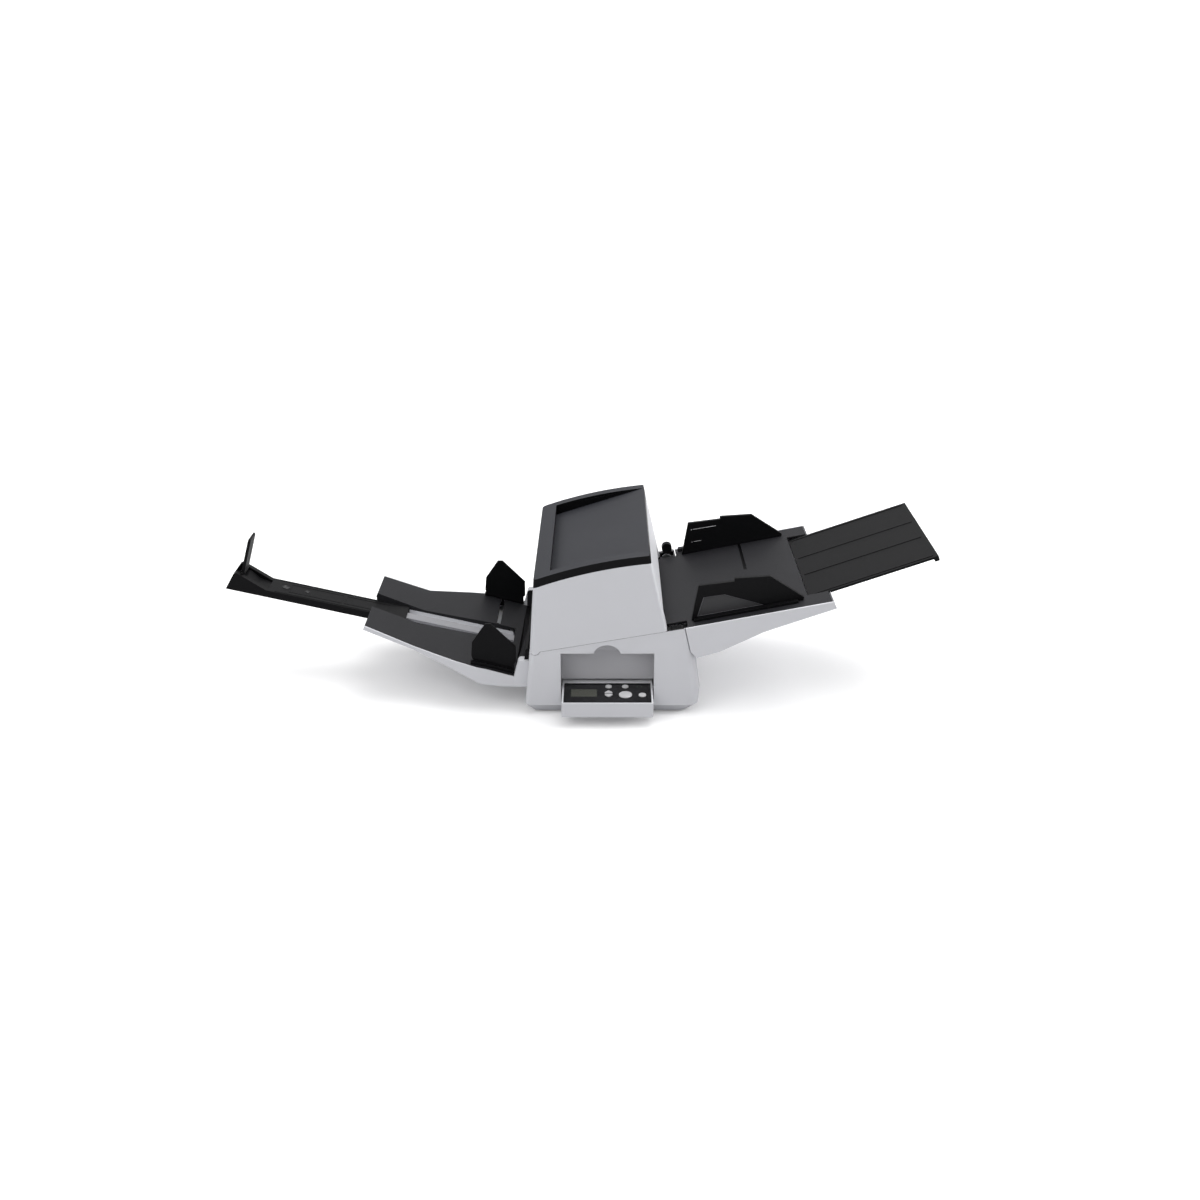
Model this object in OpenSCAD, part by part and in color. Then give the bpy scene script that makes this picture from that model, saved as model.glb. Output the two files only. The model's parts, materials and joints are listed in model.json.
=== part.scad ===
// Sheet fed document scanner with a straight, sloping paper path.
// The hopper is on the +X side and the stacker on the -X side. The operator panel
// faces -Y. The origin is on the desk, under the middle of the base.

/* [Body] */
// Half of the body's width, across the paper path
body_half = 191; // [188:1:194]
// Wall thickness of the moulded cases
wall = 3; // [2.5:0.5:3.5]
// Height of the case above the desk, at the rubber feet
foot_h = 3; // [3:0.5:4]
// Height of the crease above the base's chamfer
crease_z = 18; // [17:0.5:18.5]
// Radius of the body's corners on the stacker side
left_corner_r = 8; // [6:1:8]
// Radius of the lower case's corners on the hopper side
right_corner_r = 18; // [16:1:20]

/* [Paper path] */
// Slope of the paper path in degrees
path_angle = 10; // [10:0.1:10]
// Half of the widest document
paper_half = 152.4; // [150:0.1:152.4]
// Gap between the upper and lower cases at the seam
seam_gap = 0.6; // [0.4:0.1:0.8]

/* [Top cover] */
// Radius of the arched top
cover_r = 760; // [760:1:760]
// Depth of the black band around the top
band_h = 13.6; // [13:0.1:14]
// Width of the rim on both sides of the tray in the top
cover_rim = 21.5; // [20:0.5:24]

/* [Operator panel] */
// Width of the tilting panel
panel_w = 151; // [148:1:152]
// Thickness of the panel
panel_t = 26.5; // [26:0.5:28]
// Angle that the panel is tilted out by at rest
panel_open = 93; // [90:1:96]

/* [Hopper] */
// Slope of the hopper in degrees
hopper_angle = 11.4; // [11.4:0.1:11.4]
// Distance from the middle to the inner face of a hopper guide
hopper_guide_y = 154; // [153:0.5:156]
// Slope of the hopper's extension in degrees
extension_angle = 19.5; // [19:0.5:20]
// Half of the width of the hopper's extension
extension_half = 140; // [120:5:145]

/* [Stacker] */
// Distance from the middle to the inner face of a stacker guide
stacker_guide_y = 148; // [146:0.5:149]
// Slope of the stacker's extension in degrees
bar_angle = 13; // [13:0.1:13]
// Half of the width of the stacker's extension
bar_half = 30; // [28:1:31]

/* [Hidden] */

light_gray = [0.76, 0.77, 0.79];
mid_gray = [0.50, 0.50, 0.53];
charcoal = [0.20, 0.20, 0.21];
black = [0.07, 0.07, 0.07];
steel = [0.68, 0.70, 0.72];
rubber = [0.12, 0.12, 0.13];

// A shaft turns in its bore with this much radial room, and other pieces keep this gap.
running = 0.05;
gap = 0.5;
curve_fn = 48;

// The paper path starts at the stacker side and rises towards the hopper.
path_x = -135;
path_z0 = 121;
seam_left_z = 112.5;
function path_z(x) = path_z0 + (x - path_x) * tan(path_angle);
function seam_z(x) = seam_left_z + (x - path_x) * tan(path_angle);

// Where each roller pair and the scanning line lie along the path
eject_u = 36;
scan_u = 86;
drive_u = 136;
separator_u = 176;
pick_u = 206;
tyre_r = 9;
shaft_r = 4;
pinch_r = 7;
feed_roller_r = 12;
brake_r = 10;
nip = 0.6;

// The steel frames stand outside the paper path and carry the shafts.
frame_in = 165;
frame_t = 3;
upper_frame_in = 160;
upper_frame_t = 3;
guide_half = paper_half + 3.6;

// Hinge of the upper case, inside the knuckle at the stacker end of the seam
hinge_x = -126;
hinge_z = 118;
hinge_r = 2.5;
knuckle_r = 8.3;

// Body cross-sections: height, left, right and half width
LOWER_BODY = [
    [foot_h, -131, 131, body_half - 12],
    [crease_z, -143.5, 146.5, body_half],
    [46, -141, 149, body_half],
    [170, -130, 131, body_half]
];
UPPER_BODY = [
    [100, -135.6, 104, body_half],
    [300, -122.5, 58, body_half]
];
hopper_joint = [[120.5, 157.5], [130.5, 115], [141.5, 104]];

// Top arch: it runs through these two points of the band's lower edge.
arch_left = [-127.3, 227.1];
arch_right = [64.6, 271.2];
arch_chord = norm(arch_right - arch_left);
arch_dir = (arch_right - arch_left) / arch_chord;
arch_drop = sqrt(cover_r * cover_r - arch_chord * arch_chord / 4);
arch_centre = (arch_left + arch_right) / 2 + arch_drop * [arch_dir[1], -arch_dir[0]];
function arch_z(x, r) = arch_centre[1] + sqrt(r * r - pow(x - arch_centre[0], 2));
tray_left_x = -100;
tray_right_x = 60;
tray_depth = 18;

// Operator panel: it tilts on pins inside the well.
panel_x = -6;
well_w = 155;
pivot_y = -body_half + 20;
pivot_z = 41;
panel_top = 66;
panel_swing_r = 27;
panel_pin_r = 3;
well_z0 = 19;
well_z1 = 112.5;
notch_x = -6.5;

// Hopper: its frame starts on the top edge of the side wall, at the body.
hopper_x = 122;
hopper_z = 156.5;
table_pivot_s = 214;
table_pivot_n = -7;
table_t = 3;
rack_s = 104;
pinion_teeth = 20;
gear_module = 1.25;
pinion_r = pinion_teeth * gear_module / 2;
rack_pitch = PI * gear_module;
extension_start = [330, 188.5];

// Stacker: heights of its floor, from the body outwards
STACKER_FLOOR = [[-143, 56], [-163, 60], [-211, 73], [-268, 84], [-336, 98], [-418, 131]];
STACKER_UNDERSIDE = [[-421, 124], [-330, 90], [-267, 68], [-219, 46], [-182, 42], [-143, 42]];
STACKER_PLAN = [[-139, 170], [-225, 168], [-262, 158], [-336, 129], [-421, 119]];
// Top line of the extension's bar: height above the desk at a place along X
bar_ref = [-593, 158.6];
function bar_top(x) = bar_ref[1] + (bar_ref[0] - x) * tan(bar_angle);
bar_inner_x = -362;
bar_outer_x = -668;
bar_h = 13;
stop_pivot = [-643, 193.5];

// ---- Helpers -------------------------------------------------------------

// An outline in X and Z, extruded across the body between two places on Y
module slab(y0, y1) {
    translate([0, y1, 0]) rotate([90, 0, 0]) linear_extrude(height = y1 - y0) children();
}
module across(half) {
    slab(-half, half) children();
}
module rod(x, z, r, y0, y1) {
    slab(y0, y1) translate([x, z]) circle(r = r, $fn = curve_fn);
}
module on_path() {
    translate([path_x, 0, path_z0]) rotate([0, -path_angle, 0]) children();
}
module on_hopper() {
    translate([hopper_x, 0, hopper_z]) rotate([0, -hopper_angle, 0]) children();
}
module both_sides() {
    children();
    mirror([0, 1, 0]) children();
}

// A tapering body with rounded upright corners
module tower(sections, inset, left_r, right_r) {
    hull() for (s = sections, side = [-1, 1]) {
        translate([s[1] + left_r, side * (s[3] - left_r), s[0]])
            cylinder(r = left_r - inset, h = 0.4, $fn = curve_fn);
        translate([s[2] - right_r, side * (s[3] - right_r), s[0]])
            cylinder(r = right_r - inset, h = 0.4, $fn = curve_fn);
    }
}
module lower_block(inset) {
    tower(LOWER_BODY, inset, left_corner_r, right_corner_r);
}
module upper_block(inset) {
    tower(UPPER_BODY, inset, left_corner_r, 4);
}
module arch(r) {
    across(200) translate(arch_centre) circle(r = r, $fn = 360);
}
module box_at(lo, hi) {
    translate(lo) cube(hi - lo);
}
module seam_outline(shift) {
    polygon(concat(
        [[-200, seam_z(-200) + shift]],
        [[hopper_joint[0][0], seam_z(hopper_joint[0][0]) + shift]],
        [[220, seam_z(220) + shift], [220, -20], [-200, -20]]
    ));
}

// Involute gear outline and the rack that it drives
function involute(base, t) = [
    base * (cos(t) + t * PI / 180 * sin(t)),
    base * (sin(t) - t * PI / 180 * cos(t))
];
function turned(p, a) = [p[0] * cos(a) - p[1] * sin(a), p[0] * sin(a) + p[1] * cos(a)];
module gear_outline(teeth, m, backlash) {
    pitch = teeth * m / 2;
    base = pitch * cos(20);
    tip = pitch + 0.9 * m;
    root = pitch - 1.2 * m;
    t_pitch = tan(20) * 180 / PI;
    t_tip = sqrt(pow(tip / base, 2) - 1) * 180 / PI;
    polar = t_pitch - 20;
    half = 90 / teeth - backlash / (2 * pitch) * 180 / PI + polar;
    flank = [for (i = [0:4]) involute(base, t_tip * i / 4)];
    polygon([for (k = [0:teeth - 1]) each concat(
        [turned([root, 0], k * 360 / teeth - half)],
        [for (i = [0:4]) turned(flank[i], k * 360 / teeth - half)],
        [for (i = [4:-1:0]) turned([flank[i][0], -flank[i][1]], k * 360 / teeth + half)],
        [turned([root, 0], k * 360 / teeth + half)]
    )]);
}
// Rack teeth along +Y, pointing to +X, with the pitch line at X = 0
module rack_teeth(first, count, m, backlash) {
    pitch = PI * m;
    half = pitch / 4 - backlash / 2;
    for (k = [0:count - 1])
        translate([0, (first + k) * pitch])
            polygon([
                [-1.2 * m, -half - 1.2 * m * tan(20)],
                [0.9 * m, -half + 0.9 * m * tan(20)],
                [0.9 * m, half - 0.9 * m * tan(20)],
                [-1.2 * m, half + 1.2 * m * tan(20)]
            ]);
}

// ---- Lower unit ----------------------------------------------------------

module notch_outline() {
    polygon(concat(
        [[notch_x + 22.4, well_z1 - 7]],
        [for (a = [0:10:180])
            [notch_x + 20 * cos(a) * (1.12 - 0.12 * sin(a)), well_z1 + 15 * sin(a)]],
        [[notch_x - 22.4, well_z1 - 7]]
    ));
}
module lower_case() color(light_gray) difference() {
    lower_block(0);
    lower_block(wall);
    // Everything above the seam and beyond the joint with the hopper
    across(220) polygon([
        [-220, seam_z(-220) - seam_gap], [hopper_joint[0][0], seam_z(hopper_joint[0][0]) - seam_gap],
        hopper_joint[1], hopper_joint[2], [220, hopper_joint[2][1]], [220, 320], [-220, 320]
    ]);
    rod(hinge_x, hinge_z, knuckle_r + 0.9, -220, 220);
    box_at([panel_x - well_w / 2, -220, well_z0], [panel_x + well_w / 2, -body_half + 12, well_z1]);
    slab(-220, -body_half + 12) notch_outline();
    // Paper exit above the stacker
    box_at([-160, -164, 54], [-120, 164, 130]);
    // Power inlet with its switch, and data port, in the far wall
    box_at([-110, body_half - 12, 30], [-50, 220, 54]);
    box_at([-35, body_half - 12, 36], [-21, 220, 48]);
}
module base_plate() color(steel) difference() {
    union() {
        box_at([-126, -174, foot_h], [120, 174, foot_h + 2]);
        both_sides() for (x = [-116, 112])
            box_at([x - 8, 156, foot_h + 2], [x + 8, frame_in, foot_h + 22]);
    }
    for (x = [-100:40:100])
        box_at([x - 12, -60, 0], [x + 12, -50, 20]);
}
module rubber_feet() color(rubber) {
    cylinder(r = 10, h = foot_h, $fn = curve_fn);
    for (x = [-108, 108], y = [-155, 155])
        translate([x, y, 0]) cylinder(r = 10, h = foot_h, $fn = curve_fn);
}

// Side frame outline: legs on both sides of the panel's well, a strip under the path
module frame_outline() {
    polygon([
        [-124, foot_h + 4], [-124, 104], [-131, 108], [-131, 119], [-130.2, 122.2],
        [-126, 123.9], [-121.8, 122.6], [-118, path_z(-118) - 2], [52, path_z(52) - 2],
        [72, 127], [118, 116], [118, foot_h + 4], [80, foot_h + 4], [80, 117.5],
        [30, 124], [-88, 117.5], [-90, foot_h + 4]
    ]);
}
module path_bore(u, w, r) {
    across(200) translate([path_x, path_z0]) rotate(path_angle) translate([u, w])
        circle(r = r, $fn = curve_fn);
}
module path_rod(u, w, r, y0, y1) {
    slab(y0, y1) translate([path_x, path_z0]) rotate(path_angle) translate([u, w])
        circle(r = r, $fn = curve_fn);
}
module side_frame() difference() {
    slab(frame_in, frame_in + frame_t) frame_outline();
    path_bore(eject_u, -tyre_r - nip, shaft_r + running);
    path_bore(drive_u, -tyre_r - nip, shaft_r + running);
    path_bore(separator_u, -brake_r - nip, shaft_r + running);
    rod(hinge_x, hinge_z, hinge_r, 100, 200);
}
module near_frame() color(steel) mirror([0, 1, 0]) side_frame();
module far_frame() color(steel) difference() {
    union() {
        side_frame();
        // Lug and pin of the release lever
        slab(frame_in, frame_in + frame_t) polygon([
            [90, 105], [98, 140], [98, 152], [102, 156], [110, 156], [114, 152], [114, 140], [117, 105]
        ]);
        rod(lever_x, lever_z, lever_pin_r, frame_in + 1, 183);
    }
    // Hole for the motor's boss
    rod(motor_x, motor_z, 11, 100, 200);
}
motor_x = 95;
motor_z = 85;
lever_x = 106;
lever_z = 148;
lever_pin_r = 3;

// Lower paper guide with windows for the rollers and the glass
module roller_windows(u, half_u, lo, hi) {
    for (y = tyre_places)
        box_at([u - half_u, y - 17, lo], [u + half_u, y + 17, hi]);
}
tyre_places = [-110, -40, 40, 110];
module lower_guide() color(black) {
    on_path() difference() {
        union() {
            box_at([3, -guide_half, -4], [188, guide_half, -1]);
            both_sides() box_at([3, guide_half - 3, -14], [24, guide_half, -1]);
        }
        roller_windows(eject_u, tyre_r + 1.5, -20, 5);
        roller_windows(drive_u, tyre_r + 1.5, -20, 5);
        box_at([separator_u - 12, -35, -20], [separator_u + 12, 35, 5]);
        box_at([scan_u - 13, -guide_half + 2, -20], [scan_u + 13, guide_half - 2, 5]);
    }
    // Shelves beside the throat, with room for the release lever on the far side
    difference() {
        both_sides() slab(169, body_half - wall - gap)
            polygon([[60, seam_z(60) - 2], [60, seam_z(60) - 8], [hopper_joint[0][0] - 1, 148],
                     [hopper_joint[0][0] - 2, seam_z(117) - 2]]);
        box_at([lever_x - 12, 160, 120], [lever_x + 20, 184, 200]);
    }
}
module scan_body(sign) {
    on_path() mirror([0, 0, sign < 0 ? 1 : 0]) {
        difference() {
            box_at([scan_u - 22, -154, 5], [scan_u + 22, 154, 28]);
            box_at([scan_u - 18, -150, 12], [scan_u + 18, 150, 24]);
            box_at([scan_u - 9, -150, 4], [scan_u + 9, 150, 13]);
        }
        both_sides() box_at([scan_u - 12, 154, 8], [scan_u + 12, 156, 22]);
    }
}
module scan_window(sign) {
    on_path() mirror([0, 0, sign < 0 ? 1 : 0])
        box_at([scan_u - 11, -152, 1.5], [scan_u + 11, 152, 5]);
}
module lower_scan_unit() color(charcoal) scan_body(-1);
module lower_scan_glass() color([0.6, 0.75, 0.8, 0.5]) scan_window(-1);

// Motor, pulleys and belt on the far side
belt_y0 = 172;
belt_y1 = 180;
pulley_r = 9;
module path_spot(u, w) {
    translate([path_x, path_z0]) rotate(path_angle) translate([u, w]) children();
}
module belt_outline(extra) {
    hull() {
        path_spot(eject_u, -tyre_r - nip) circle(r = pulley_r + extra, $fn = curve_fn);
        path_spot(drive_u, -tyre_r - nip) circle(r = pulley_r + extra, $fn = curve_fn);
        translate([motor_x, motor_z]) circle(r = pulley_r / 2 + extra, $fn = curve_fn);
    }
}
module drive_motor() color(steel) difference() {
    union() {
        rod(motor_x, motor_z, 21, 118, 163);
        rod(motor_x, motor_z, 10, 163, 169);
        slab(160, 164.6) translate([motor_x, motor_z]) square([48, 48], center = true);
    }
    rod(motor_x, motor_z, 2.5 + running, 150, 170);
}
module motor_pulley() color(steel) {
    rod(motor_x, motor_z, 2.5, 152, belt_y1 + 3);
    rod(motor_x, motor_z, pulley_r / 2, belt_y0 - 1, belt_y1 + 1);
    rod(motor_x, motor_z, pulley_r / 2 + 3, belt_y1 + 1, belt_y1 + 3);
}
module timing_belt() color(black) slab(belt_y0, belt_y1) difference() {
    belt_outline(2);
    belt_outline(0.4);
}
module roller_shaft(u, r) {
    w = -r - nip;
    path_rod(u, w, shaft_r, -frame_in - frame_t - 2, belt_y1 + 2);
    path_rod(u, w, pulley_r, belt_y0 - 1, belt_y1 + 1);
}
module tyre_set(u) {
    for (y = tyre_places) difference() {
        path_rod(u, -tyre_r - nip, tyre_r, y - 15, y + 15);
        path_rod(u, -tyre_r - nip, shaft_r, y - 16, y + 16);
    }
}
module drive_shaft() color(steel) roller_shaft(drive_u, tyre_r);
module drive_tyres() color(rubber) tyre_set(drive_u);
module eject_shaft() color(steel) roller_shaft(eject_u, tyre_r);
module eject_tyres() color(rubber) tyre_set(eject_u);
module brake_roller() color(rubber) {
    path_rod(separator_u, -brake_r - nip, brake_r, -32, 32);
    path_rod(separator_u, -brake_r - nip, shaft_r, -frame_in - frame_t - 2, frame_in + frame_t + 2);
}
module main_board() color([0.10, 0.32, 0.18]) {
    box_at([-60, -90, 14], [70, 60, 15.6]);
    for (x = [-40, 0, 40])
        box_at([x, -60, 15.6], [x + 22, -38, 18]);
    box_at([-50, 20, 15.6], [-20, 50, 27]);
    for (x = [-54, 64], y = [-84, 54])
        translate([x, y, foot_h + 2]) cylinder(r = 3, h = 9, $fn = 24);
}
switch_x = -60;
switch_y = 184;
switch_z = 42;
module power_inlet() color(black) difference() {
    box_at([-109.5, 175, 30.5], [-50.5, body_half - 0.5, 53.5]);
    box_at([-105, body_half - 13, 34], [-83, 200, 50]);
    box_at([switch_x - 7, 178, switch_z - 8], [switch_x + 7, 200, switch_z + 8]);
    translate([switch_x, switch_y, switch_z]) rotate([0, 90, 0])
        cylinder(r = 2 + running, h = 19, center = true, $fn = curve_fn);
}
// Rocker, tipped to its off side at rest
module power_switch() color(black) translate([switch_x, switch_y, switch_z]) {
    rotate([-7, 0, 0]) translate([-6.5, 0, 0]) rotate([90, 0, 90]) linear_extrude(height = 13)
        polygon([[-3, -5], [-3, 5], [4, 6.5], [5.6, 6.5], [4.6, 0], [5.6, -6.5], [4, -6.5]]);
    rotate([0, 90, 0]) cylinder(r = 2, h = 18, center = true, $fn = curve_fn);
}
module usb_port() color(steel) difference() {
    box_at([-34.5, 175, 36.5], [-21.5, body_half - 0.5, 47.5]);
    box_at([-33, 180, 38], [-23, 200, 46]);
}

// Well behind the operator panel
module well_outline(extra) {
    polygon([
        [-body_half + 2.9, well_z0 - 6.5 - extra], [-142 + extra, well_z0 - 6.5 - extra],
        [-142 + extra, 53.5], [-162.5 + extra, 53.5], [-162.5 + extra, well_z1 + extra],
        [-body_half + 2.9, well_z1 + extra]
    ]);
}
module along_x(x0, x1) {
    translate([x0, 0, 0]) rotate([90, 0, 90]) linear_extrude(height = x1 - x0) children();
}
module panel_well() color(mid_gray) {
    half = well_w / 2;
    difference() {
        intersection() {
            union() {
                along_x(panel_x - half - 4, panel_x + half + 4) well_outline(2);
                slab(-body_half + wall, -174) offset(delta = 2) notch_outline();
            }
            lower_block(wall + 0.1);
        }
        along_x(panel_x - half, panel_x + half) well_outline(0);
        slab(-body_half - 1, -176) notch_outline();
        along_x(panel_x - half - 10, panel_x + half + 10)
            translate([pivot_y, pivot_z]) circle(r = panel_pin_r + running, $fn = curve_fn);
    }
}
// Black exit face between the body and the stacker
module exit_cover() color(black) difference() {
    across(163) polygon([[-150, 58], [-140.2, 58], [-134.8, 107], [-139, 110.5], [-143, 106]]);
    for (y = [-120:40:120])
        slab(y - 3, y + 3) polygon([[-154, 66], [-147.5, 66], [-144, 98], [-154, 98]]);
    // Steps around the blocks that carry the stacker
    both_sides() box_at([-160, 147.9, 50], [-130, 170, 89.4]);
}
module release_lever() color(black) {
    difference() {
        union() {
            rod(lever_x, lever_z, 5.5, 171, 181);
            slab(171, 181) polygon([[lever_x - 5.4, lever_z], [lever_x - 7, lever_z + 16],
                                    [lever_x + 7, lever_z + 16], [lever_x + 5.4, lever_z]]);
            rod(lever_x, lever_z + 18, 9.5, 169.5, 182.5);
        }
        rod(lever_x, lever_z, lever_pin_r + running, 160, 200);
    }
}

// ---- Upper unit ----------------------------------------------------------

module upper_case() color(light_gray) difference() {
    intersection() {
        upper_block(0);
        arch(cover_r);
    }
    upper_block(wall);
    // Below the seam, with the knuckle left round the hinge
    difference() {
        across(220) seam_outline(0);
        rod(hinge_x, hinge_z, knuckle_r, -230, 230);
    }
    difference() {
        box_at([-160, -220, 90], [hinge_x, 220, hinge_z]);
        rod(hinge_x, hinge_z, knuckle_r, -230, 230);
    }
    // Paper exit and throat
    box_at([-160, -184, 90], [-110, 184, path_z(path_x) + 10]);
    across(158) polygon([[70, 120], [70, 174], [92, 178], [130, 178], [130, 120]]);
}
module tray_outline(extra) {
    left = tray_left_x - extra;
    right = tray_right_x;
    top = cover_r + band_h;
    polygon([
        [left, arch_z(tray_left_x, top) - tray_depth - extra], [right, arch_z(right, top) - extra],
        [right, arch_z(right, top) + 30 * (extra > 0 ? 0 : 1)],
        [left, arch_z(left, top) + 30 * (extra > 0 ? 0 : 1)]
    ]);
}
module top_cover() color(charcoal) difference() {
    union() {
        difference() {
            intersection() {
                upper_block(0);
                arch(cover_r + band_h);
            }
            arch(cover_r);
            intersection() {
                upper_block(wall);
                arch(cover_r + band_h - wall);
            }
        }
        intersection() {
            across(body_half - cover_rim + 2.5) tray_outline(2.5);
            arch(cover_r + band_h);
            upper_block(wall);
        }
    }
    across(body_half - cover_rim) tray_outline(0);
}
module upper_frame() difference() {
    union() {
        slab(upper_frame_in, upper_frame_in + upper_frame_t) path_spot(0, 0) polygon([
            [12, 5], [5, 4], [5, -3], [14, -3], [22, 3], [215, 3], [212, 50], [40, 50], [12, 20]
        ]);
        rod(hinge_x, hinge_z, 6, upper_frame_in, upper_frame_in + upper_frame_t);
    }
    path_bore(eject_u, pinch_r + nip, 3 + running);
    path_bore(drive_u, pinch_r + nip, 3 + running);
    path_bore(separator_u, feed_roller_r + nip, shaft_r + running);
    rod(hinge_x, hinge_z, hinge_r + running, 100, 200);
}
module upper_frames() color(steel) {
    both_sides() upper_frame();
    on_path() box_at([60, -upper_frame_in, 44], [110, upper_frame_in, 47]);
    // Brackets to the case
    both_sides() on_path() for (u = [50, 160])
        box_at([u - 6, upper_frame_in, 28], [u + 6, body_half - wall - 0.1, 31]);
}
module upper_guide() color(black) on_path() difference() {
    union() {
        box_at([16, -guide_half, 1.2], [164, guide_half, 4]);
        both_sides() box_at([164, 60, 1.2], [196, guide_half, 4]);
        both_sides() box_at([20, guide_half - 3, 4], [160, guide_half, 16]);
    }
    roller_windows(eject_u, pinch_r + 1.5, -5, 20);
    roller_windows(drive_u, pinch_r + 1.5, -5, 20);
    box_at([scan_u - 13, -guide_half + 2, -20], [scan_u + 13, guide_half - 2, 4.9]);
    both_sides() box_at([scan_u - 23, 150, 4.9], [scan_u + 23, 158, 30]);
    for (u = [eject_u, drive_u])
        translate([u, 0, pinch_r + nip]) rotate([90, 0, 0])
            cylinder(r = 3 + gap, h = 400, center = true, $fn = curve_fn);
}
module upper_scan_unit() color(charcoal) scan_body(1);
module upper_scan_glass() color([0.6, 0.75, 0.8, 0.5]) scan_window(1);
module pinch_set(u) {
    path_rod(u, pinch_r + nip, 3, -upper_frame_in - upper_frame_t - 1, upper_frame_in + upper_frame_t + 1);
    for (y = tyre_places)
        path_rod(u, pinch_r + nip, pinch_r, y - 14, y + 14);
}
module drive_pinch() color(mid_gray) pinch_set(drive_u);
module eject_pinch() color(mid_gray) pinch_set(eject_u);
module separator_roller() color(rubber) {
    path_rod(separator_u, feed_roller_r + nip, feed_roller_r, -32, 32);
    path_rod(separator_u, feed_roller_r + nip, shaft_r, -upper_frame_in - upper_frame_t - 1,
             upper_frame_in + upper_frame_t + 1);
}
pick_w = feed_roller_r + nip + 1.5;
module pick_arm() color(black) difference() {
    union() {
        both_sides() slab(34, 38) hull() {
            path_spot(separator_u, feed_roller_r + nip) circle(r = 8, $fn = 32);
            path_spot(pick_u, pick_w) circle(r = 7, $fn = 32);
            path_spot(separator_u, feed_roller_r + 14) square([28, 4]);
        }
        on_path() box_at([separator_u + 2, -35, feed_roller_r + 14.5], [pick_u - 4, 35, feed_roller_r + 17.5]);
    }
    path_bore(separator_u, feed_roller_r + nip, shaft_r + running);
    path_bore(pick_u, pick_w, 3 + running);
}
module pick_roller() color(rubber) {
    path_rod(pick_u, pick_w, feed_roller_r, -32, 32);
    path_rod(pick_u, pick_w, 3, -39, 39);
}
module hinge_pins() color(steel) both_sides() {
    rod(hinge_x, hinge_z, hinge_r, upper_frame_in - 2, frame_in + frame_t + 1);
    rod(hinge_x, hinge_z, 4, frame_in + frame_t, frame_in + frame_t + 2);
}

// ---- Hopper --------------------------------------------------------------

HOPPER_SIDE = [
    hopper_joint[0] + [1.2, -0.2], [363, 205], [368, 193], [250, 151], [180, 116],
    hopper_joint[2] + [0.6, 0.6], hopper_joint[1] + [0.8, 0.4]
];
HOPPER_HOLLOW = [
    [110, 200], [363.5, 215], [363.5, 204], [362, 195.5], [248, 154.2], [178, 119.4],
    [141, 106.8], [120, 118]
];
module hopper_shell() color(light_gray) difference() {
    across(body_half) polygon(HOPPER_SIDE);
    across(body_half - wall) polygon(HOPPER_HOLLOW);
    // Slot in the end wall for the extension
    across(extension_half + 1) polygon([[350, 196.5], [350, 230], [380, 230], [380, 202.7]]);
    // Seats of the table's pivot pins
    on_hopper() translate([table_pivot_s, 0, table_pivot_n]) rotate([90, 0, 0])
        cylinder(r = 3 + running, h = 2 * body_half - 1.6, center = true, $fn = curve_fn);
}
// Table that lifts the stack, with slots for the keys of the two guides
module hopper_table() color(black) on_hopper() difference() {
    union() {
        box_at([-66, -guide_half, -table_t], [4, guide_half, 0]);
        box_at([4, -body_half + wall + gap, -table_t], [table_pivot_s + 29, body_half - wall - gap, 0]);
        both_sides() {
            box_at([4, body_half - wall - gap - 2.5, -8], [200, body_half - wall - gap, -table_t]);
            // Pivot lugs
            box_at([table_pivot_s - 5, 178, table_pivot_n], [table_pivot_s + 5, 182, -table_t]);
            translate([table_pivot_s, 182, table_pivot_n]) rotate([90, 0, 0])
                cylinder(r = 5, h = 4, $fn = curve_fn);
            translate([table_pivot_s, body_half - 1, table_pivot_n]) rotate([90, 0, 0])
                cylinder(r = 3, h = body_half - 1 - 178, $fn = curve_fn);
        }
        // Stop beside the release lever
        box_at([6, 173, -1], [27, 184, 6]);
        // Ribs that guide the racks, and the pinion's post
        for (s = [rack_s - pinion_r - 9, rack_s + pinion_r + 6.5])
            box_at([s, -160, -9], [s + 2.5, 160, -table_t]);
        translate([rack_s, 0, -10]) cylinder(r = 3, h = 8, $fn = curve_fn);
    }
    box_at([rack_s - pinion_r - 5.5, -163, -5], [rack_s - pinion_r - 0.5, -24, 1]);
    box_at([rack_s + pinion_r + 0.5, 24, -5], [rack_s + pinion_r + 5.5, 163, 1]);
    // Mouth for the extension
    box_at([208, -extension_half - 2, -5], [260, extension_half + 2, 1]);
}
GUIDE_SIDE = [[12, 0.5], [34, 59], [93, 55], [94.5, 60], [152, 52.5], [201, 4.5], [199, 0.5]];
INSERT_SIDE = [[22, 5], [38, 37], [73, 35.5], [134, 4.5]];
module on_hopper_slab(y0, y1) {
    on_hopper() slab(y0, y1) children();
}
module guide_plate() {
    y0 = hopper_guide_y;
    on_hopper_slab(y0, y0 + 2.5) polygon(GUIDE_SIDE);
    on_hopper_slab(y0 + 2.5, y0 + 7) difference() {
        polygon(GUIDE_SIDE);
        offset(delta = 0.3) polygon(INSERT_SIDE);
    }
    // Foot on the table
    on_hopper() box_at([16, y0 + 7, 0.5], [190, y0 + 16, 4]);
}
// Key through the table's slot, and the rack below the table
module guide_rack() {
    y0 = hopper_guide_y;
    rack_in = rack_s - pinion_r;
    on_hopper() box_at([rack_in - 5, y0 + 1, -6], [rack_in - 1, y0 + 8, 2]);
    on_hopper() translate([rack_in, 0, -8]) linear_extrude(height = 4) {
        translate([-5.5, -18]) square([5.5 - 1.1 * gear_module, y0 + 26]);
        rack_teeth(-4, floor((y0 + 4) / rack_pitch) + 4, gear_module, 0.45);
    }
}
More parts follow.
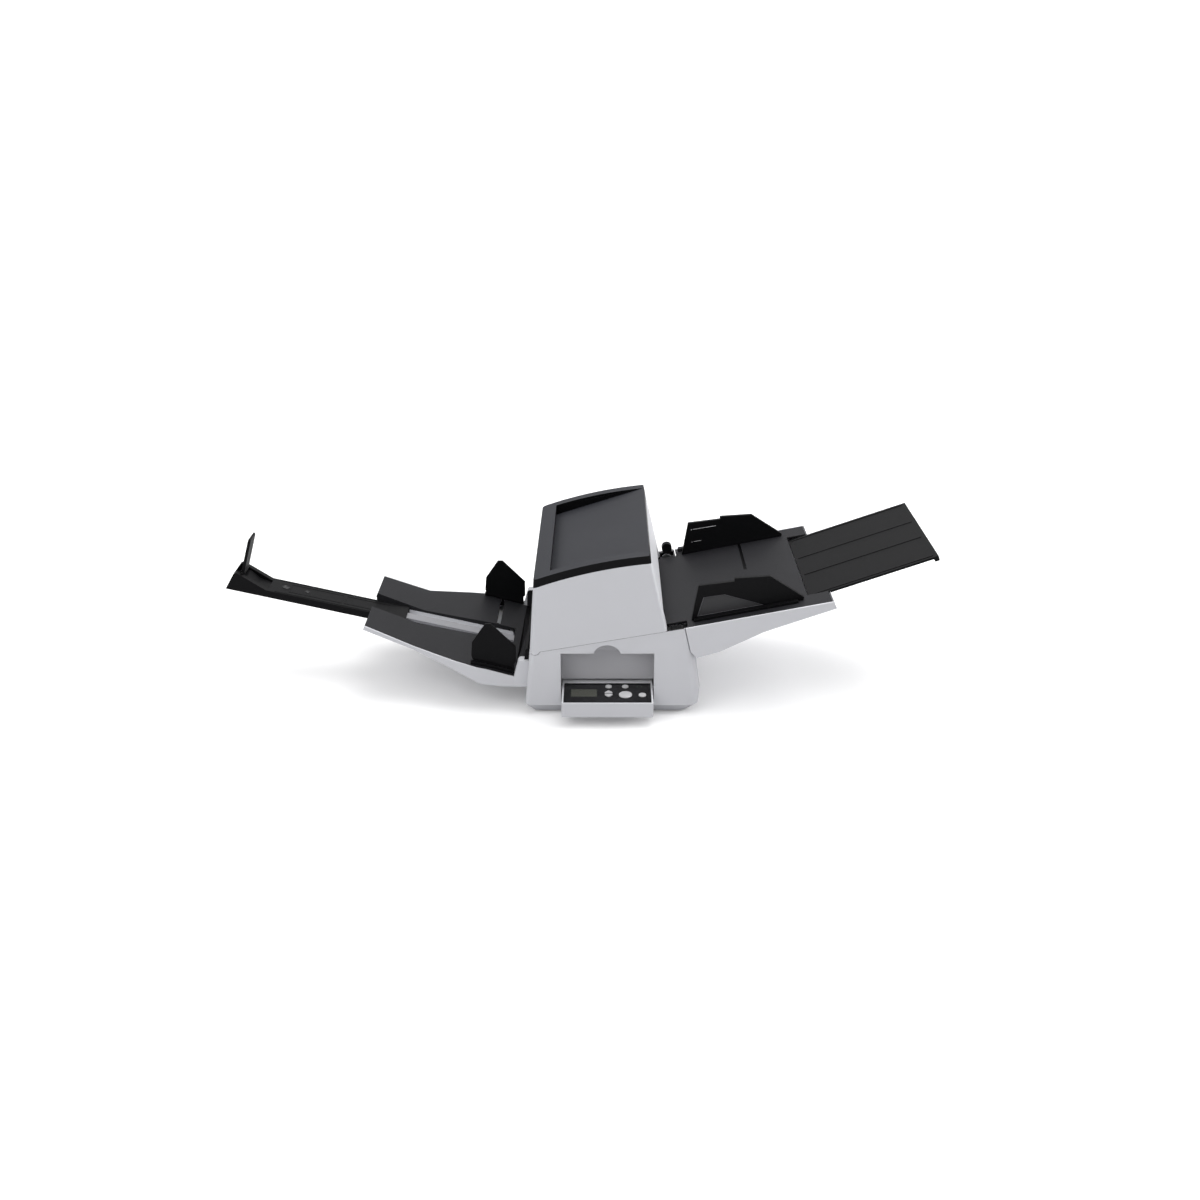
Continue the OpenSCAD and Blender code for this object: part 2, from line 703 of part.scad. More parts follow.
// Half a turn about the pinion's post
module about_pinion() {
    on_hopper() translate([rack_s, 0, 0]) rotate([0, 0, 180]) translate([-rack_s, 0, 0])
        rotate([0, hopper_angle, 0]) translate([-hopper_x, 0, -hopper_z]) children();
}
module hopper_guide_near() color(black) mirror([0, 1, 0]) {
    guide_plate();
    guide_rack();
}
module hopper_guide_far() color(black) {
    guide_plate();
    about_pinion() mirror([0, 1, 0]) guide_rack();
}
module guide_insert() on_hopper_slab(hopper_guide_y + 2.5, hopper_guide_y + 5) polygon(INSERT_SIDE);
module guide_insert_far() color(charcoal) guide_insert();
module guide_insert_near() color(charcoal) mirror([0, 1, 0]) guide_insert();
module guide_pinion() color(light_gray) on_hopper() translate([rack_s, 0, -8]) difference() {
    linear_extrude(height = 4) rotate(90 + 90 / pinion_teeth * 2)
        gear_outline(pinion_teeth, gear_module, 0.45);
    translate([0, 0, -1]) cylinder(r = 3 + running, h = 8, $fn = curve_fn);
}
// Extension that slides out below the table
module hopper_extension() color(black)
    translate([extension_start[0], 0, extension_start[1]]) rotate([0, -extension_angle, 0]) {
        box_at([0, -extension_half, 0], [222, extension_half, 4]);
        box_at([214, -extension_half, -5], [222, extension_half, 0]);
        for (y = [-extension_half + 8, -40, 40, extension_half - 8])
            box_at([6, y - 2, 4], [214, y + 2, 5]);
    }

// ---- Stacker -------------------------------------------------------------

function lowered(points, d) = [for (p = points) [p[0], p[1] - d]];
module stacker_side(drop, base_lift) {
    polygon(concat(lowered(STACKER_FLOOR, drop), lowered(STACKER_UNDERSIDE, -base_lift)));
}
module stacker_plan(inset) {
    translate([0, 0, 20]) linear_extrude(height = 130) polygon(concat(
        [for (p = STACKER_PLAN) [p[0] + (p[0] < -400 ? inset : 0), p[1] - inset]],
        [for (i = [len(STACKER_PLAN) - 1:-1:0])
            [STACKER_PLAN[i][0] + (STACKER_PLAN[i][0] < -400 ? inset : 0), inset - STACKER_PLAN[i][1]]]
    ));
}
module bar_channel(side, drop, x1) {
    across(side) polygon([[-440, bar_top(-440) - drop], [x1, bar_top(x1) - drop], [x1, 160], [-440, 160]]);
}
module stacker_shell() color(light_gray) {
    difference() {
        intersection() {
            across(175) stacker_side(0, 0);
            stacker_plan(0);
        }
        intersection() {
            across(175) stacker_side(-20, 2.5);
            stacker_plan(2.5);
        }
        bar_channel(bar_half + 1.5, bar_h + 1, -172);
    }
    // Trough below the extension's bar
    difference() {
        across(bar_half + 4) polygon([
            [-418, bar_top(-418) - bar_h - 3.5], [-176, bar_top(-176) - bar_h - 3.5],
            [-176, bar_top(-176) - 7], [-418, bar_top(-418) - 4]
        ]);
        bar_channel(bar_half + 1.5, bar_h + 1, -172);
    }
    both_sides() slab(150, 170) polygon([
        [-163, 60], [-156, 86], [-153, 89], [-137.6, 89], [-141.6, 42], [-163, 42]
    ]);
}
module stacker_tray() color(black) difference() {
    union() {
        intersection() {
            across(172) polygon(concat(STACKER_FLOOR, [
                [-417, 127.8], [-336, 94.8], [-268, 80.8], [-211, 69.8], [-163, 56.8], [-143, 52.8]
            ]));
            stacker_plan(2.8);
        }
        // Cheeks against the blocks beside the body
        both_sides() slab(148.2, 149.4) polygon([
            [-157, 57], [-156, 86], [-153.5, 89.8], [-137.8, 89.8], [-141, 54]
        ]);
    }
    both_sides() box_at([-164.5, 149.5, 40], [-130, 180, 100]);
    bar_channel(bar_half + 1, bar_h + 2, -172);
    both_sides() box_at([-206, 36, 50], [-199, 156, 100]);
}
module stacker_rail() color(light_gray) {
    across(12) polygon([
        [-400, bar_top(-400) - 4], [-172, bar_top(-172) - 4], [-172, bar_top(-172) - 9],
        [-400, bar_top(-400) - 9]
    ]);
    for (x = [-240, -190])
        across(6) polygon([
            [x - 3, bar_top(x - 3) - 14], [x + 3, bar_top(x + 3) - 14],
            [x + 3, bar_top(x + 3) - 7], [x - 3, bar_top(x - 3) - 7]
        ]);
}
STACKER_GUIDE = [[-233, 84], [-235, 92], [-233, 115.5], [-210, 149], [-201, 149],
                 [-160, 107.5], [-160, 80], [-163.5, 76], [-163.5, 62]];
module stacker_guide() {
    slab(stacker_guide_y, stacker_guide_y + 3.5) polygon(concat(STACKER_GUIDE, [[-211, 74]]));
    slab(stacker_guide_y + 3.5, stacker_guide_y + 10)
        polygon([[-236, 78.6], [-236, 84], [-211, 79], [-166, 67], [-166, 61.5], [-211, 73.7]]);
    box_at([-205, stacker_guide_y + 0.5, 63], [-200, stacker_guide_y + 6, 76]);
    box_at([-209, stacker_guide_y, 60], [-196, stacker_guide_y + 7, 63.4]);
}
module stacker_guide_far() color(black) stacker_guide();
module stacker_guide_near() color(black) mirror([0, 1, 0]) stacker_guide();

// Extension bar: an upside-down channel that runs over the rail
module stacker_extension() color(black) difference() {
    across(bar_half) polygon([
        [bar_inner_x, bar_top(bar_inner_x)], [-602, bar_top(-602)], [-651, 193], [-656, 191],
        [bar_outer_x - 4, bar_top(bar_outer_x) - bar_h + 1], [bar_outer_x, bar_top(bar_outer_x) - bar_h],
        [bar_inner_x, bar_top(bar_inner_x) - bar_h]
    ]);
    across(bar_half - 3) polygon([
        [bar_inner_x + 5, bar_top(bar_inner_x + 5) - 3], [-600, bar_top(-600) - 3],
        [-600, bar_top(-600) - 20], [bar_inner_x + 5, bar_top(bar_inner_x + 5) - 20]
    ]);
    // Pocket and bores for the stopper
    slab(-19, 19) polygon([[-655, 182], [-655, 200], [-600, 200], [-600, 156], [-622, 165], [-637, 180]]);
    rod(stop_pivot[0], stop_pivot[1] - 5, 2 + running, -26, 26);
}
module stacker_stopper() color(black) {
    z0 = stop_pivot[1] - 5;
    slab(-18, 18) polygon([
        [stop_pivot[0] - 2.5, z0], [stop_pivot[0] + 15, z0 + 60], [stop_pivot[0] + 17, z0 + 63],
        [stop_pivot[0] + 19.5, z0 + 62], [stop_pivot[0] + 20, z0 + 59], [stop_pivot[0] + 3, z0]
    ]);
    rod(stop_pivot[0], z0, 2, -24, 24);
    rod(stop_pivot[0], z0, 4, -18, 18);
}

// ---- Operator panel ------------------------------------------------------

// Panel pieces are drawn shut, in Y and Z about the pivot, and turned open.
module panel_frame() {
    translate([panel_x, pivot_y, pivot_z]) rotate([panel_open, 0, 0]) children();
}
face_y = panel_t - 20;
face_z0 = -4;
module panel_case() color(light_gray) panel_frame() {
    half = panel_w / 2;
    difference() {
        intersection() {
            box_at([-half, -20, -30], [half, face_y, panel_top]);
            union() {
                rotate([0, 90, 0]) cylinder(r = panel_swing_r, h = 200, center = true, $fn = 96);
                box_at([-100, -40, 0], [100, 40, 80]);
            }
        }
        // Seat of the face, and the hollow behind it
        box_at([-half + 3, face_y - 2.6, face_z0 - 0.3], [half - 3, face_y + 1, panel_top - 3]);
        box_at([-half + 5, -17, face_z0 + 1.5], [half - 5, face_y - 1, panel_top - 5]);
    }
    rotate([0, 90, 0]) difference() {
        cylinder(r = panel_pin_r, h = well_w + 6, center = true, $fn = curve_fn);
        cylinder(r = panel_pin_r + 1, h = panel_w - 1, center = true, $fn = curve_fn);
    }
}
// Places on the face: x from the middle, z from the pivot
row_top = 8.5;
row_low = 36.5;
arrow_z = 33.5;
display_x = -39;
display_z = 29;
display_w = 44;
display_h = 26.5;
button_play = 0.35;
BUTTONS = [
    ["menu", 2, row_top, 5.4], ["function", 30, row_top, 5.4],
    ["scan", 30, row_low, 10.9], ["stop", 58, row_low + 1, 6.2]
];
module on_face(x, z) {
    translate([x, face_y, z]) rotate([-90, 0, 0]) children();
}
module arrow_outline(grow) {
    polygon([
        [-6.5 - grow, 2 - grow], [-6.3 - grow, 3.8 + grow], [-3.8 - grow, 6.8 + grow],
        [-1.6 - grow / 2, 9.4 + grow], [0, 10 + grow], [1.6 + grow / 2, 9.4 + grow],
        [3.8 + grow, 6.8 + grow], [6.3 + grow, 3.8 + grow], [6.5 + grow, 2 - grow]
    ]);
}
module panel_face() color(black) panel_frame() difference() {
    box_at([-panel_w / 2 + 3.3, face_y - 2.4, face_z0], [panel_w / 2 - 3.3, face_y - 0.4, panel_top - 3.3]);
    for (b = BUTTONS)
        on_face(b[1], b[2]) cylinder(r = b[3] + button_play, h = 20, center = true, $fn = curve_fn);
    for (flip = [0, 1])
        on_face(2, arrow_z) mirror([0, flip, 0]) translate([0, 0, -10])
            linear_extrude(height = 20) arrow_outline(button_play);
    on_face(display_x, display_z) cube([display_w, display_h, 20], center = true);
}
module panel_display() color([0.23, 0.24, 0.20]) panel_frame()
    on_face(display_x, display_z) translate([0, 0, -1.5])
        cube([display_w - 0.6, display_h - 0.6, 1.4], center = true);
module panel_board() color([0.10, 0.32, 0.18]) panel_frame() {
    half = panel_w / 2 - 5.5;
    box_at([-half, face_y - 10, face_z0 + 2], [half, face_y - 8.4, panel_top - 5.5]);
    on_face(display_x, display_z) translate([-20, -12, -8.4]) cube([40, 24, 6.2]);
}
module round_button(b) panel_frame() on_face(b[1], b[2]) {
    translate([0, 0, -5]) cylinder(r = b[3], h = 6, $fn = curve_fn);
    translate([0, 0, -5]) cylinder(r = b[3] + 1.4, h = 1.6, $fn = curve_fn);
}
module arrow_button(flip) panel_frame() on_face(2, arrow_z) mirror([0, flip, 0]) translate([0, 0, -5]) {
    linear_extrude(height = 6) arrow_outline(0);
    linear_extrude(height = 1.6) translate([0, 0.6]) arrow_outline(0.5);
}
module menu_button() color(light_gray) round_button(BUTTONS[0]);
module function_button() color(light_gray) round_button(BUTTONS[1]);
module scan_button() color(light_gray) round_button(BUTTONS[2]);
module stop_button() color(light_gray) round_button(BUTTONS[3]);
module up_button() color(light_gray) arrow_button(1);
module down_button() color(light_gray) arrow_button(0);

lower_case();
base_plate();
rubber_feet();
near_frame();
far_frame();
lower_guide();
lower_scan_unit();
lower_scan_glass();
drive_motor();
motor_pulley();
timing_belt();
drive_shaft();
drive_tyres();
eject_shaft();
eject_tyres();
brake_roller();
main_board();
power_inlet();
power_switch();
usb_port();
panel_well();
exit_cover();
release_lever();
upper_case();
top_cover();
upper_frames();
upper_guide();
upper_scan_unit();
upper_scan_glass();
separator_roller();
pick_arm();
pick_roller();
drive_pinch();
eject_pinch();
hinge_pins();
hopper_shell();
hopper_table();
hopper_guide_near();
hopper_guide_far();
guide_insert_near();
guide_insert_far();
guide_pinion();
hopper_extension();
stacker_shell();
stacker_tray();
stacker_rail();
stacker_guide_near();
stacker_guide_far();
stacker_extension();
stacker_stopper();
panel_case();
panel_face();
panel_display();
panel_board();
menu_button();
function_button();
up_button();
down_button();
scan_button();
stop_button();
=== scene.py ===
import json
import math
import bmesh
import bpy
from mathutils import Matrix, Vector


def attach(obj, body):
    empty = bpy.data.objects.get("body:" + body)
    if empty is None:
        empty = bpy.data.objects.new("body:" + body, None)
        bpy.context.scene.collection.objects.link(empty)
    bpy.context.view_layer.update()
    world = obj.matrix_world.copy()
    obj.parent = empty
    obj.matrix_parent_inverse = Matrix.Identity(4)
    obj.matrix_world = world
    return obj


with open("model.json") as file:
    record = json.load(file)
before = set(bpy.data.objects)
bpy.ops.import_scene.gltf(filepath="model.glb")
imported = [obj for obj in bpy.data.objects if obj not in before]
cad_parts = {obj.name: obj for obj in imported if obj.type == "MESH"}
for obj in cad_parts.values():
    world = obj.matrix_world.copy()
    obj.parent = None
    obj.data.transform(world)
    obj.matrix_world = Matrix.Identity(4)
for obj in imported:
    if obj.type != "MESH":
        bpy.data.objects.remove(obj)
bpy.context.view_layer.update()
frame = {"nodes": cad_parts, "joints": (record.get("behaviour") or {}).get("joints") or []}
nodes = frame["nodes"]
MM = 0.001

# ---------------------------------------------------------------- materials


class Shader:
    """A small helper around one material's node tree."""

    def __init__(self, name):
        self.mat = bpy.data.materials.new(name)
        self.mat.use_nodes = True
        self.tree = self.mat.node_tree
        self.bsdf = self.tree.nodes["Principled BSDF"]
        self.coord = self.add("ShaderNodeTexCoord").outputs["Object"]

    def add(self, kind, **values):
        n = self.tree.nodes.new(kind)
        for key, value in values.items():
            if key == "operation":
                n.operation = value
            else:
                n.inputs[key.replace("_", " ")].default_value = value
        return n

    def link(self, a, b):
        self.tree.links.new(a, b)

    def stretched(self, x, y, z):
        m = self.add("ShaderNodeMapping")
        m.inputs["Scale"].default_value = (x, y, z)
        self.link(self.coord, m.inputs["Vector"])
        return m.outputs["Vector"]

    def noise(self, scale, detail=3.0, vector=None):
        n = self.add("ShaderNodeTexNoise", Scale=scale, Detail=detail)
        self.link(self.coord if vector is None else vector, n.inputs["Vector"])
        return n.outputs["Fac"]

    def spread(self, value, low, high, from_low=0.3, from_high=0.7):
        n = self.add("ShaderNodeMapRange")
        n.inputs["From Min"].default_value = from_low
        n.inputs["From Max"].default_value = from_high
        n.inputs["To Min"].default_value = low
        n.inputs["To Max"].default_value = high
        self.link(value, n.inputs["Value"])
        return n.outputs["Result"]

    def mixed(self, factor, a, b):
        n = self.add("ShaderNodeMix")
        n.data_type = "RGBA"
        self.link(factor, n.inputs["Factor"])
        for socket, value in (("A", a), ("B", b)):
            target = [i for i in n.inputs if i.name == socket and i.type == "RGBA"][0]
            if isinstance(value, (tuple, list)):
                target.default_value = value
            else:
                self.link(value, target)
        return [o for o in n.outputs if o.type == "RGBA"][0]

    def bump(self, height, strength, distance, after=None):
        n = self.add("ShaderNodeBump", Strength=strength, Distance=distance)
        self.link(height, n.inputs["Height"])
        if after is not None:
            self.link(after, n.inputs["Normal"])
        self.link(n.outputs["Normal"], self.bsdf.inputs["Normal"])
        return n.outputs["Normal"]

    def edge(self):
        """1 on sharp outer edges and 0 on flat faces."""
        geometry = self.add("ShaderNodeNewGeometry")
        return self.spread(geometry.outputs["Pointiness"], 0.0, 1.0, 0.51, 0.58)


def shade(colour, k):
    """The colour made k times as bright, and opaque."""
    return tuple(min(1.0, c * k) for c in colour[:3]) + (1.0,)


def plastic(name, colour, rough=0.5, grain=0.25, size=0.0006, wear=1.12, mottled=0.05,
            specular=0.5):
    """Moulded plastic: spark-eroded grain, faint mottling, edges a little paler from handling."""
    s = Shader(name)
    cloud = s.spread(s.noise(9.0, 4.0), 0.0, 1.0)
    base = s.mixed(cloud, shade(colour, 1 - mottled), shade(colour, 1 + mottled))
    s.link(s.mixed(s.edge(), base, shade(colour, wear)), s.bsdf.inputs["Base Color"])
    fine = s.noise(1.0 / size, 2.0)
    s.link(s.spread(fine, rough - 0.06, rough + 0.06), s.bsdf.inputs["Roughness"])
    s.bsdf.inputs["Specular IOR Level"].default_value = specular
    s.bump(fine, grain, size * 0.25)
    return s.mat


def cover_with_painted_side_shade(name, top, side, rough, side_rough):
    """Charcoal cover: satin where the piece faces up at rest, with painted shade that makes its
    upright band near black.
    """
    s = Shader(name)
    cloud = s.spread(s.noise(9.0, 4.0), 0.0, 1.0)
    upper = s.mixed(cloud, shade(top, 0.95), shade(top, 1.05))
    # painted shade: the darker side colour goes on faces of the piece that do not point up
    lower = s.mixed(cloud, shade(side, 0.9), shade(side, 1.1))
    apart = s.add("ShaderNodeSeparateXYZ")
    s.link(s.add("ShaderNodeTexCoord").outputs["Normal"], apart.inputs["Vector"])
    facing = s.spread(apart.outputs["Z"], 0.0, 1.0, 0.35, 0.75)
    s.link(s.mixed(facing, lower, upper), s.bsdf.inputs["Base Color"])
    fine = s.noise(1500.0, 2.0)
    s.link(s.spread(facing, side_rough, rough, 0.0, 1.0), s.bsdf.inputs["Roughness"])
    s.link(s.spread(facing, 0.12, 0.2, 0.0, 1.0), s.bsdf.inputs["Specular IOR Level"])
    s.bump(fine, 0.25, 0.00018)
    return s.mat


def metal(name, colour, rough, lines=(4.0, 900.0, 900.0)):
    """Sheet or ground metal with drawn lines and a little tarnish."""
    s = Shader(name)
    tarnish = s.noise(35.0, 5.0)
    s.link(s.mixed(s.spread(tarnish, 0.0, 1.0), shade(colour, 0.82), shade(colour, 1.06)),
           s.bsdf.inputs["Base Color"])
    drawn = s.noise(1.0, 3.0, s.stretched(*lines))
    s.link(s.spread(drawn, rough - 0.1, rough + 0.1), s.bsdf.inputs["Roughness"])
    s.bsdf.inputs["Metallic"].default_value = 1.0
    s.bump(drawn, 0.15, 0.00005)
    return s.mat


def rubber(name, colour, rough=0.75, grooves=0.0):
    """Rubber with dust in its pores; rollers also have fine grooves that ring them."""
    s = Shader(name)
    dust = s.noise(260.0, 6.0)
    s.link(s.mixed(s.spread(dust, 0.0, 1.0, 0.45, 0.8), shade(colour, 1.0), shade(colour, 2.1)),
           s.bsdf.inputs["Base Color"])
    s.link(s.spread(dust, rough - 0.08, rough + 0.1), s.bsdf.inputs["Roughness"])
    normal = s.bump(s.noise(1600.0, 2.0), 0.35, 0.0001)
    if grooves:
        wave = s.add("ShaderNodeTexWave", Scale=grooves, Distortion=0.0)
        wave.bands_direction = "Y"
        s.link(s.coord, wave.inputs["Vector"])
        s.bump(wave.outputs["Fac"], 0.5, 0.0002, normal)
    return s.mat


def glass(name, colour, rough=0.03, clear=0.65):
    """Clear glass with a faint smear."""
    s = Shader(name)
    smear = s.noise(30.0, 5.0)
    s.link(s.mixed(s.spread(smear, 0.0, 1.0), shade(colour, 0.92), shade(colour, 1.05)),
           s.bsdf.inputs["Base Color"])
    s.link(s.spread(smear, rough, rough + 0.08), s.bsdf.inputs["Roughness"])
    s.bsdf.inputs["Transmission Weight"].default_value = clear
    s.bsdf.inputs["IOR"].default_value = 1.5
    return s.mat


def board_material():
    """Circuit board: green solder mask, paler along the lines where tracks run beneath."""
    s = Shader("circuit_board")
    bricks = s.add("ShaderNodeTexBrick", Scale=180.0)
    bricks.inputs["Color1"].default_value = (0.02, 0.13, 0.045, 1)
    bricks.inputs["Color2"].default_value = (0.025, 0.17, 0.06, 1)
    bricks.inputs["Mortar"].default_value = (0.05, 0.27, 0.10, 1)
    bricks.inputs["Mortar Size"].default_value = 0.035
    turned = s.add("ShaderNodeMapping")
    turned.inputs["Rotation"].default_value = (math.pi / 2, 0, 0)
    s.link(s.coord, turned.inputs["Vector"])
    s.link(turned.outputs["Vector"], bricks.inputs["Vector"])
    s.link(bricks.outputs["Color"], s.bsdf.inputs["Base Color"])
    s.link(s.spread(s.noise(60.0), 0.25, 0.4), s.bsdf.inputs["Roughness"])
    s.bump(bricks.outputs["Fac"], 0.3, 0.0001)
    return s.mat


def lcd_material():
    """Unlit liquid crystal panel: olive gray, with its dot rows just showing."""
    s = Shader("lcd")
    cells = s.add("ShaderNodeTexChecker", Scale=1500.0)
    s.link(s.coord, cells.inputs["Vector"])
    olive = (0.052, 0.055, 0.041, 1)
    s.link(s.mixed(cells.outputs["Fac"], shade(olive, 0.96), shade(olive, 1.05)),
           s.bsdf.inputs["Base Color"])
    s.link(s.spread(s.noise(40.0), 0.12, 0.2), s.bsdf.inputs["Roughness"])
    s.bsdf.inputs["Coat Weight"].default_value = 0.6
    s.bsdf.inputs["Coat Roughness"].default_value = 0.05
    return s.mat


M = {
    "body": plastic("body_plastic", (0.60, 0.605, 0.63), 0.45, 0.16, 0.0005, 1.03, 0.012, 0.35),
    # panel well coloured darker than the body: painted shade of the recess
    "well": plastic("well_painted_shade", (0.46, 0.46, 0.48), 0.5, 0.2, 0.0006, 1.03, 0.02, 0.3),
    # second colour: painted shade of the cover's upright band
    "cover": cover_with_painted_side_shade("cover_plastic", (0.027, 0.028, 0.033), (0.003, 0.003, 0.0035), 0.5, 0.35),
    "black": plastic("black_plastic", (0.0045, 0.0045, 0.005), 0.45, 0.35, 0.0008, 1.15, 0.08,
                     0.10),
    "tray": plastic("tray_plastic", (0.015, 0.015, 0.017), 0.5, 0.4, 0.0009, 1.15, 0.08, 0.15),
    "gloss": plastic("gloss_plastic", (0.005, 0.005, 0.006), 0.12, 0.04, 0.0015, 1.2, 0.02, 0.4),
    "insert": plastic("insert_plastic", (0.040, 0.040, 0.042), 0.35, 0.2, 0.0006, 1.1, 0.05, 0.3),
    "button": plastic("button_plastic", (0.60, 0.60, 0.61), 0.35, 0.06, 0.001, 1.03, 0.01),
    "rail": plastic("rail_plastic", (0.22, 0.22, 0.235), 0.4, 0.12, 0.0008, 1.03, 0.02),
    "roller": plastic("roller_plastic", (0.30, 0.30, 0.31), 0.4, 0.1, 0.001, 1.05, 0.03),
    "acetal": plastic("acetal", (0.62, 0.61, 0.56), 0.35, 0.05, 0.001, 1.03, 0.02),
    "chip": plastic("chip_resin", (0.012, 0.012, 0.013), 0.45, 0.1, 0.0006, 1.1, 0.05, 0.3),
    "steel": metal("zinc_plate", (0.56, 0.57, 0.58), 0.36),
    "ground": metal("ground_steel", (0.62, 0.62, 0.63), 0.22, (900.0, 6.0, 900.0)),
    "brass": metal("brass", (0.60, 0.44, 0.18), 0.28),
    "rubber": rubber("foot_rubber", (0.02, 0.02, 0.022)),
    # dark rubber finish used only for the painted shadow along the seam
    "seam_shade": rubber("seam_shadow_rubber", (0.006, 0.006, 0.007)),
    "tyre": rubber("roller_rubber", (0.035, 0.036, 0.042), 0.7, 350.0),
    "lamp": plastic("lamp_lens", (0.10, 0.16, 0.11), 0.2, 0.03, 0.001, 1.05, 0.02),
    # pale grey of the insert lines: painted highlight along the edge of each guide's insert
    "line": plastic("insert_edge_highlight", (0.12, 0.12, 0.13), 0.3, 0.1, 0.0006, 1.05, 0.03, 0.3),
    "glass": glass("scan_glass", (0.70, 0.78, 0.80)),
    "board": board_material(),
    "lcd": lcd_material(),
}

FINISH = {
    "body": ["lower_case", "upper_case", "hopper_shell", "stacker_shell", "panel_case"],
    "well": ["panel_well"],
    "cover": ["top_cover"],
    "black": ["exit_cover", "release_lever", "upper_guide", "lower_guide", "pick_arm",
              "hopper_guide_near", "hopper_guide_far", "stacker_guide_near", "stacker_guide_far",
              "stacker_extension", "stacker_stopper", "hopper_extension", "lower_scan_unit",
              "upper_scan_unit", "power_inlet"],
    "tray": ["stacker_tray", "hopper_table"],
    "gloss": ["panel_face", "power_switch"],
    "insert": ["guide_insert_near", "guide_insert_far"],
    "button": ["menu_button", "function_button", "up_button", "down_button", "scan_button",
               "stop_button"],
    "rail": ["stacker_rail"],
    "roller": ["drive_pinch", "eject_pinch"],
    "acetal": ["guide_pinion"],
    "steel": ["base_plate", "near_frame", "far_frame", "upper_frames", "drive_motor", "usb_port"],
    "ground": ["motor_pulley", "drive_shaft", "eject_shaft", "hinge_pins"],
    "rubber": ["rubber_feet", "timing_belt"],
    "tyre": ["drive_tyres", "eject_tyres", "brake_roller", "separator_roller", "pick_roller"],
    "glass": ["lower_scan_glass", "upper_scan_glass"],
    "board": ["main_board", "panel_board"],
    "lcd": ["panel_display"],
}
for finish, members in FINISH.items():
    for name in members:
        mesh = nodes[name].data
        mesh.materials.clear()
        mesh.materials.append(M[finish])

# ------------------------------------------------------- rounded CAD edges

# Radius of each large piece's edges in millimetres; the others take FINE_ROUND.
FINE_ROUND = 0.3
EDGE_ANGLE = 28
ROUND = {
    "lower_case": 0.5, "upper_case": 0.5, "top_cover": 1.1, "hopper_shell": 1.0,
    "stacker_shell": 1.0, "stacker_tray": 0.6, "panel_case": 0.5, "panel_well": 0.5,
    "panel_face": 0.3, "hopper_guide_near": 0.7, "hopper_guide_far": 0.7,
    "stacker_guide_near": 0.8, "stacker_guide_far": 0.8, "stacker_extension": 0.8,
    "stacker_stopper": 0.9, "hopper_extension": 0.6, "hopper_table": 0.5,
    "scan_button": 0.6, "menu_button": 0.5, "function_button": 0.5, "stop_button": 0.5,
    "up_button": 0.2, "down_button": 0.2, "release_lever": 0.8, "exit_cover": 0.5,
}


def rounded(o, width, segments=3):
    """Smooth shading, and modifiers that round the sharp edges by a width in millimetres."""
    weld = o.modifiers.new("weld", "WELD")
    weld.merge_threshold = 0.00001
    flat = o.modifiers.new("flat", "DECIMATE")
    flat.decimate_type = "DISSOLVE"
    flat.angle_limit = math.radians(0.4)
    bevel = o.modifiers.new("bevel", "BEVEL")
    bevel.width = width * MM
    bevel.segments = segments
    bevel.limit_method = "ANGLE"
    bevel.angle_limit = math.radians(EDGE_ANGLE)
    bevel.use_clamp_overlap = True
    bevel.harden_normals = False
    o.modifiers.new("normals", "WEIGHTED_NORMAL").keep_sharp = True
    for p in o.data.polygons:
        p.use_smooth = True


for name, o in nodes.items():
    rounded(o, ROUND.get(name, FINE_ROUND), 3 if name in ROUND else 2)

# ------------------------------------------------------------ added detail


def shifted(x, y, z):
    """A move by millimetres."""
    return Matrix.Translation((x * MM, y * MM, z * MM))


def turned(x, y, z, angle, axis):
    """A frame at a point in millimetres, turned about one axis by degrees."""
    return shifted(x, y, z) @ Matrix.Rotation(math.radians(angle), 4, axis)


# The CAD's own frames: the hopper's table, the stacker's extension, and the panel, which
# stands on its joint and is open by the joint's whole range
HOPPER = turned(122, 0, 156.5, -11.4, "Y")
BAR = turned(-593, 0, 158.6, 13, "Y")
tilt = next(j for j in frame["joints"] if j["name"] == "panel_tilt")
PANEL = turned(*[v / MM for v in tilt["pos_m"]], -tilt["range_deg"][0], "X")

# Turns that make a drawing's local z face up, down, near or far
FLAT = Matrix.Identity(4)
DOWN = Matrix.Rotation(math.pi, 4, "X")
NEAR = Matrix.Rotation(math.pi / 2, 4, "X")
FAR = Matrix.Rotation(-math.pi / 2, 4, "X")

# Places in the CAD's millimetres, and one slope in degrees
BODY_HALF = 191  # the body's side
SEAM_START = (-135, 112.5)  # x and z of the seam's upper edge at the stacker's end
PATH_SLOPE = 10  # slope of the paper path, which the seam follows
HOPPER_GUIDE_Y = 154  # inner face of an open hopper guide
GUIDE_THICK = 5  # thickness of a hopper guide
FACE_SURFACE = 6.1  # outer surface of the panel's face, over its pivot
BOARD_SEAT = 15.5  # foot of the parts on the main board, 0.1 under its upper face


def seam_z(x):
    """Height of the seam's upper edge, which runs along the sloping paper path."""
    start_x, start_z = SEAM_START
    return start_z + (x - start_x) * math.tan(math.radians(PATH_SLOPE))


def place(name, bm, body, finish, where=FLAT, round_mm=0.0):
    """Puts a bmesh drawn in millimetres into the scene, riding one CAD body."""
    bmesh.ops.remove_doubles(bm, verts=bm.verts, dist=1e-5)
    bmesh.ops.recalc_face_normals(bm, faces=bm.faces)
    mesh = bpy.data.meshes.new(name)
    bm.to_mesh(mesh)
    bm.free()
    mesh.transform(where @ Matrix.Scale(MM, 4))
    mesh.materials.append(M[finish])
    o = bpy.data.objects.new(name, mesh)
    bpy.context.scene.collection.objects.link(o)
    if round_mm:
        rounded(o, round_mm, 2)
    else:
        for p in mesh.polygons:
            p.use_smooth = False
    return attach(o, body)


